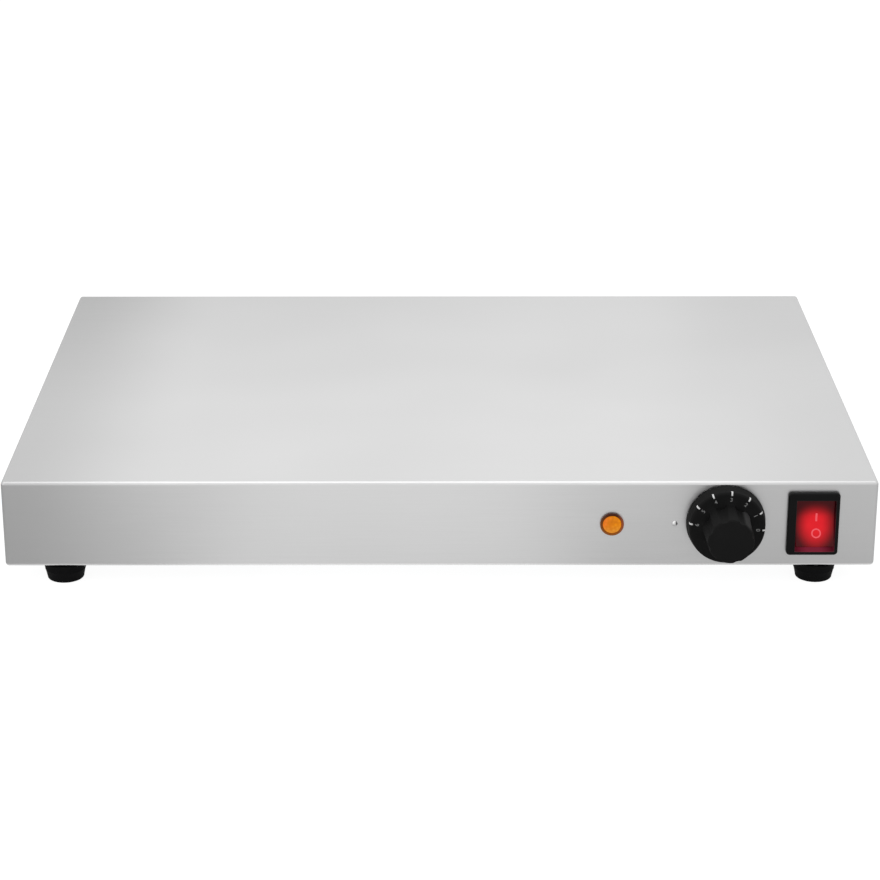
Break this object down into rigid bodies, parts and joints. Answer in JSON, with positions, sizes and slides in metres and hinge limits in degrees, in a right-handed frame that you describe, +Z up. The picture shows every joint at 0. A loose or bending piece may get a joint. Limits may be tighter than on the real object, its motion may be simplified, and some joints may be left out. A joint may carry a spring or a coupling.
{
  "type": "electric food warmer tray",
  "caption": "Countertop warming tray: flat steel hot plate over a shallow body, dial thermostat, lit rocker switch, amber lamp, rubber feet and rear power inlet",
  "frame": {"origin": "bottom centre of the whole object's box, on the plane the feet stand on", "axes": "+X to the right seen from the front (longest side), the front with its controls faces -Y, +Z up"},
  "size_m": [0.5, 0.3834, 0.0645],
  "materials": {
    "stainless": "satin brushed stainless sheet",
    "zinc_steel": "zinc-plated steel",
    "aluminium": "mill finish",
    "element_sheath": "dark heat-resistant sheath",
    "brass": "plain",
    "copper": "plain copper",
    "rubber": "matt",
    "black_plastic": "satin moulded",
    "lamp_bezel": "gloss, dark brown",
    "amber_lens": "clear amber",
    "red_lens": "clear red, lit",
    "ceramic": "unglazed",
    "mineral_fibre": "pressed fibre",
    "thermostat_case": "moulded",
    "wire_brown": "sleeved",
    "wire_blue": "sleeved",
    "wire_green_yellow": "sleeved"
  },
  "bodies": {
    "housing": {"top_shell": "stainless", "base_plate": "zinc_steel", "foot_front_left": "rubber", "foot_front_right": "rubber", "foot_back_left": "rubber", "foot_back_right": "rubber", "foot_screw_front_left": "zinc_steel", "foot_screw_front_right": "zinc_steel", "foot_screw_back_left": "zinc_steel", "foot_screw_back_right": "zinc_steel", "base_screw_front": "zinc_steel", "base_screw_back": "zinc_steel", "base_screw_left": "zinc_steel", "base_screw_right": "zinc_steel", "heat_spreader": "aluminium", "heating_element": "element_sheath", "element_terminal_front": "ceramic", "element_terminal_back": "ceramic", "clamp_bar_left": "zinc_steel", "clamp_bar_right": "zinc_steel", "clamp_nut_front_left": "zinc_steel", "clamp_nut_front_right": "zinc_steel", "clamp_nut_back_left": "zinc_steel", "clamp_nut_back_right": "zinc_steel", "insulation_pad": "mineral_fibre", "insulation_tray": "zinc_steel", "thermostat_body": "thermostat_case", "thermostat_plate": "zinc_steel", "thermostat_screw_left": "zinc_steel", "thermostat_screw_right": "zinc_steel", "capillary_tube": "copper", "sensor_bulb": "copper", "bulb_clip": "zinc_steel", "safety_cutout": "ceramic", "index_pip": "stainless", "lamp_body": "lamp_bezel", "lamp_lens": "amber_lens", "lamp_nut": "black_plastic", "switch_housing": "black_plastic", "switch_terminal_line_in": "brass", "switch_terminal_line_out": "brass", "switch_terminal_neutral_in": "brass", "switch_terminal_neutral_out": "brass", "inlet_body": "black_plastic", "inlet_pin_line": "brass", "inlet_pin_neutral": "brass", "inlet_pin_earth": "brass", "earth_stud": "zinc_steel", "wire_inlet_line": "wire_brown", "wire_inlet_neutral": "wire_blue", "wire_earth": "wire_green_yellow", "wire_line_thermostat": "wire_brown", "wire_thermostat_cutout": "wire_brown", "wire_cutout_element": "wire_brown", "wire_neutral_element": "wire_blue", "wire_lamp_line": "wire_brown", "wire_lamp_neutral": "wire_blue"},
    "dial": {"knob": "black_plastic", "thermostat_spindle": "zinc_steel"},
    "rocker": {"switch_rocker": "red_lens"}
  },
  "joints": [
    {"name": "knob_turn", "type": "hinge", "parent": "housing", "child": "dial", "pos_m": [0.1635, -0.16115, 0.04], "axis": [0, -1, 0], "range_deg": [0, 184]},
    {"name": "rocker_tilt", "type": "hinge", "parent": "housing", "child": "rocker", "pos_m": [0.2148, -0.15565, 0.038], "axis": [1, 0, 0], "range_deg": [0, 20]}
  ]
}
